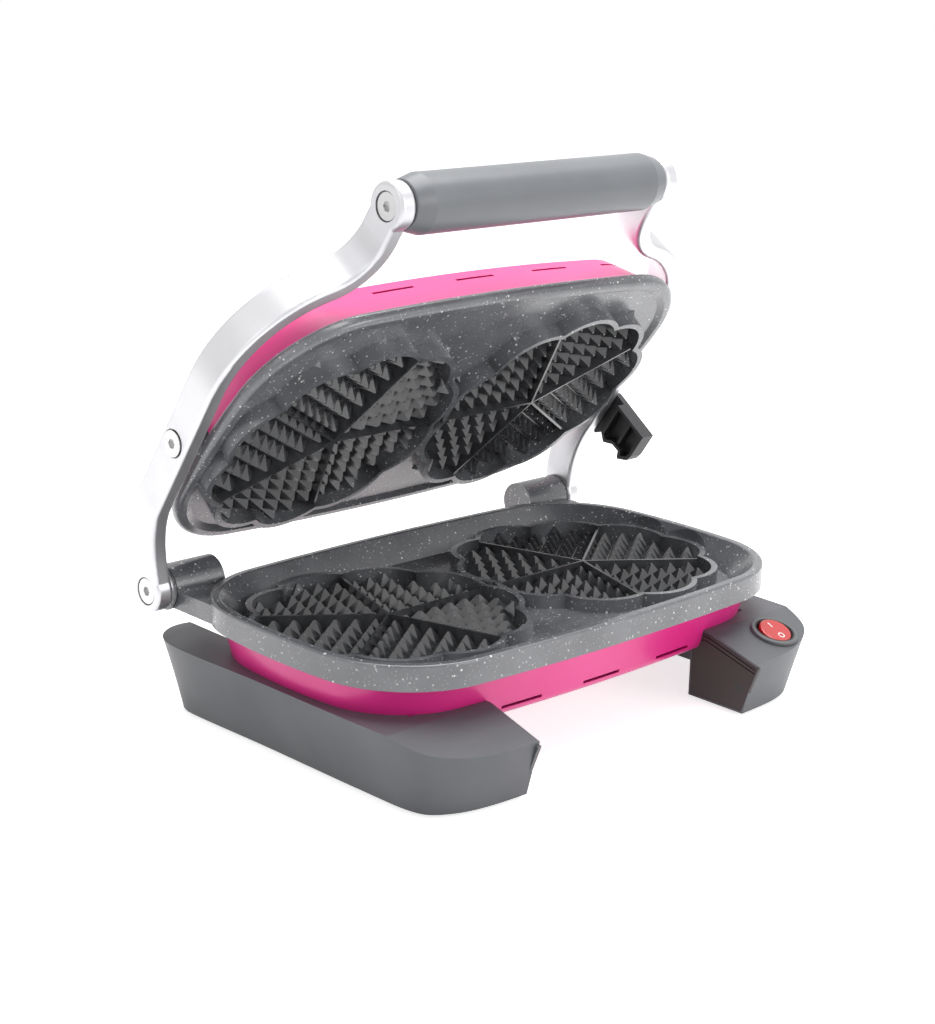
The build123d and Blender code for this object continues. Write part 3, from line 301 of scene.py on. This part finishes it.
def ring(name, centre, axis, radii, height, material, body, steps=64):
    """A flat ring standing on its centre along its axis; millimetres."""
    turn = axis.normalized().to_track_quat("Z", "Y").to_matrix()
    inner, outer = radii
    points = []
    faces = []
    for k in range(steps):
        a = 2 * pi * k / steps
        for radius, rise in ((inner, 0.0), (inner, height), (outer, height), (outer, 0.0)):
            corner = Vector((radius * cos(a), radius * sin(a), rise))
            points.append((centre + turn @ corner) / 1000)
    for k in range(steps):
        here = 4 * k
        there = 4 * ((k + 1) % steps)
        for i in range(4):
            j = (i + 1) % 4
            faces.append((here + i, there + i, there + j, here + j))
    return mesh_piece(name, points, faces, material, body)


def slab_on(name, origin, right, up, half, height, material, body):
    """A thin box on a face, by its middle and two directions in it; millimetres."""
    out = right.cross(up)
    points = []
    for rise in (0.0, height):
        for sx, sy in ((-1, -1), (1, -1), (1, 1), (-1, 1)):
            corner = right * sx * half[0] + up * sy * half[1] + out * rise
            points.append((origin + corner) / 1000)
    faces = [(3, 2, 1, 0), (4, 5, 6, 7), (0, 1, 5, 4), (1, 2, 6, 5), (2, 3, 7, 6), (3, 0, 4, 7)]
    return mesh_piece(name, points, faces, material, body)


# The on and off marks on the rocker, and a ring of painted shade inside its bezel
tilt_out = Vector((0, -sin(ROCKER_TILT), cos(ROCKER_TILT)))
tilt_up = Vector((0, cos(ROCKER_TILT), sin(ROCKER_TILT)))
across = Vector((1, 0, 0))
slope_out = Vector((0, -sin(SLOPE), cos(SLOPE)))
switch = Vector(SWITCH)
rocker_top = switch - ROCKER_SINK * slope_out + (ROCKER_SINK + ROCKER_RISE) * tilt_out
slab_on("mark_on", rocker_top + MARK_OFFSET * tilt_up, across, tilt_up, MARK_BAR,
        MARK_HEIGHT, mark_white, "rocker")
ring("mark_off", rocker_top - MARK_OFFSET * tilt_up, tilt_out, MARK_RING, MARK_HEIGHT,
     mark_white, "rocker", 40)
ring("bezel_shadow", switch + BEZEL_LINE_RISE * slope_out, slope_out, BEZEL_LINE,
     BEZEL_LINE_HEIGHT, shadow_black, "base")

# Thin rings of painted shade around the barrels' outer ends
for side, word in ((-1, "left"), (1, "right")):
    ring(f"barrel_shade_ring_{word}", Vector((side * BARREL_LINE_X, *HINGE)), side * across,
         BARREL_LINE, BARREL_LINE_WIDTH, shadow_black, "base")


# Camera, fitted to the photograph

def camera_axes(azimuth, elevation, roll):
    a, e, r = radians(azimuth), radians(elevation), radians(roll)
    back = Vector((sin(a) * cos(e), -cos(a) * cos(e), sin(e)))
    right = Vector((cos(a), sin(a), 0))
    up = back.cross(right)
    return cos(r) * right + sin(r) * up, cos(r) * up - sin(r) * right, back


right, up, back = camera_axes(*CAMERA_TURN)
camera_data = bpy.data.cameras.new("camera")
camera_data.lens = CAMERA_LENS
camera_data.sensor_width = CAMERA_SENSOR
camera = bpy.data.objects.new("camera", camera_data)
placed = Matrix((right, up, back)).transposed().to_4x4()
placed.translation = Vector(CAMERA_PLACE)
camera.matrix_world = placed
scene.collection.objects.link(camera)
scene.camera = camera


# Floor, backdrop and light

def brightest(tree, first, second):
    made = node(tree, "ShaderNodeMath", operation="MAXIMUM")
    tree.links.new(first, made.inputs[0])
    tree.links.new(second, made.inputs[1])
    return made.outputs["Value"]


def studio_floor(name, shade, glow):
    """A pale diffuse floor that glows to the camera and in reflections, so it looks white."""
    material, tree, shader = new_material(name)
    grain = noise(tree, object_space(tree), 3.0)
    tone = mix(tree, grain, (shade, shade, shade), (shade - 0.01, shade - 0.01, shade - 0.01))
    tree.links.new(tone, shader.inputs["Base Color"])
    shader.inputs["Roughness"].default_value = 0.9
    shader.inputs["Specular IOR Level"].default_value = 0.0
    shader.inputs["Emission Color"].default_value = (1.0, 1.0, 1.0, 1.0)
    ray = node(tree, "ShaderNodeLightPath")
    seen = brightest(tree, ray.outputs["Is Camera Ray"], ray.outputs["Is Glossy Ray"])
    tree.links.new(span(tree, seen, 0.0, 1.0, 0.0, glow), shader.inputs["Emission Strength"])
    return material


def area_light(name, location, target, size_x, size_y, power):
    data = bpy.data.lights.new(name, "AREA")
    data.shape = "RECTANGLE"
    data.size = size_x
    data.size_y = size_y
    data.energy = power
    made = bpy.data.objects.new(name, data)
    made.location = location
    made.rotation_euler = (Vector(target) - Vector(location)).to_track_quat("-Z", "Y").to_euler()
    scene.collection.objects.link(made)


floor_mesh = bpy.data.meshes.new("floor")
corners = [(x * FLOOR_HALF, y * FLOOR_HALF, 0) for x, y in ((-1, -1), (1, -1), (1, 1), (-1, 1))]
floor_mesh.from_pydata(corners, [], [(0, 1, 2, 3)])
floor = bpy.data.objects.new("floor", floor_mesh)
scene.collection.objects.link(floor)
floor.data.materials.append(studio_floor("floor white", FLOOR_SHADE, FLOOR_GLOW))

# White to the camera, a little brighter in reflections and dimmer as plain light
world = bpy.data.worlds.new("studio")
world.use_nodes = True
sky = world.node_tree
background = sky.nodes["Background"]
background.inputs["Color"].default_value = (1.0, 1.0, 1.0, 1.0)
sky_ray = node(sky, "ShaderNodeLightPath")
unseen = node(sky, "ShaderNodeMath", operation="MULTIPLY_ADD")
unseen.inputs[1].default_value = WORLD_GLOSS - WORLD_LIGHT
unseen.inputs[2].default_value = WORLD_LIGHT
sky.links.new(sky_ray.outputs["Is Glossy Ray"], unseen.inputs[0])
strength = brightest(sky, unseen.outputs["Value"], sky_ray.outputs["Is Camera Ray"])
sky.links.new(strength, background.inputs["Strength"])
scene.world = world

for light in LIGHTS:
    area_light(*light)

scene.view_settings.view_transform = "Standard"
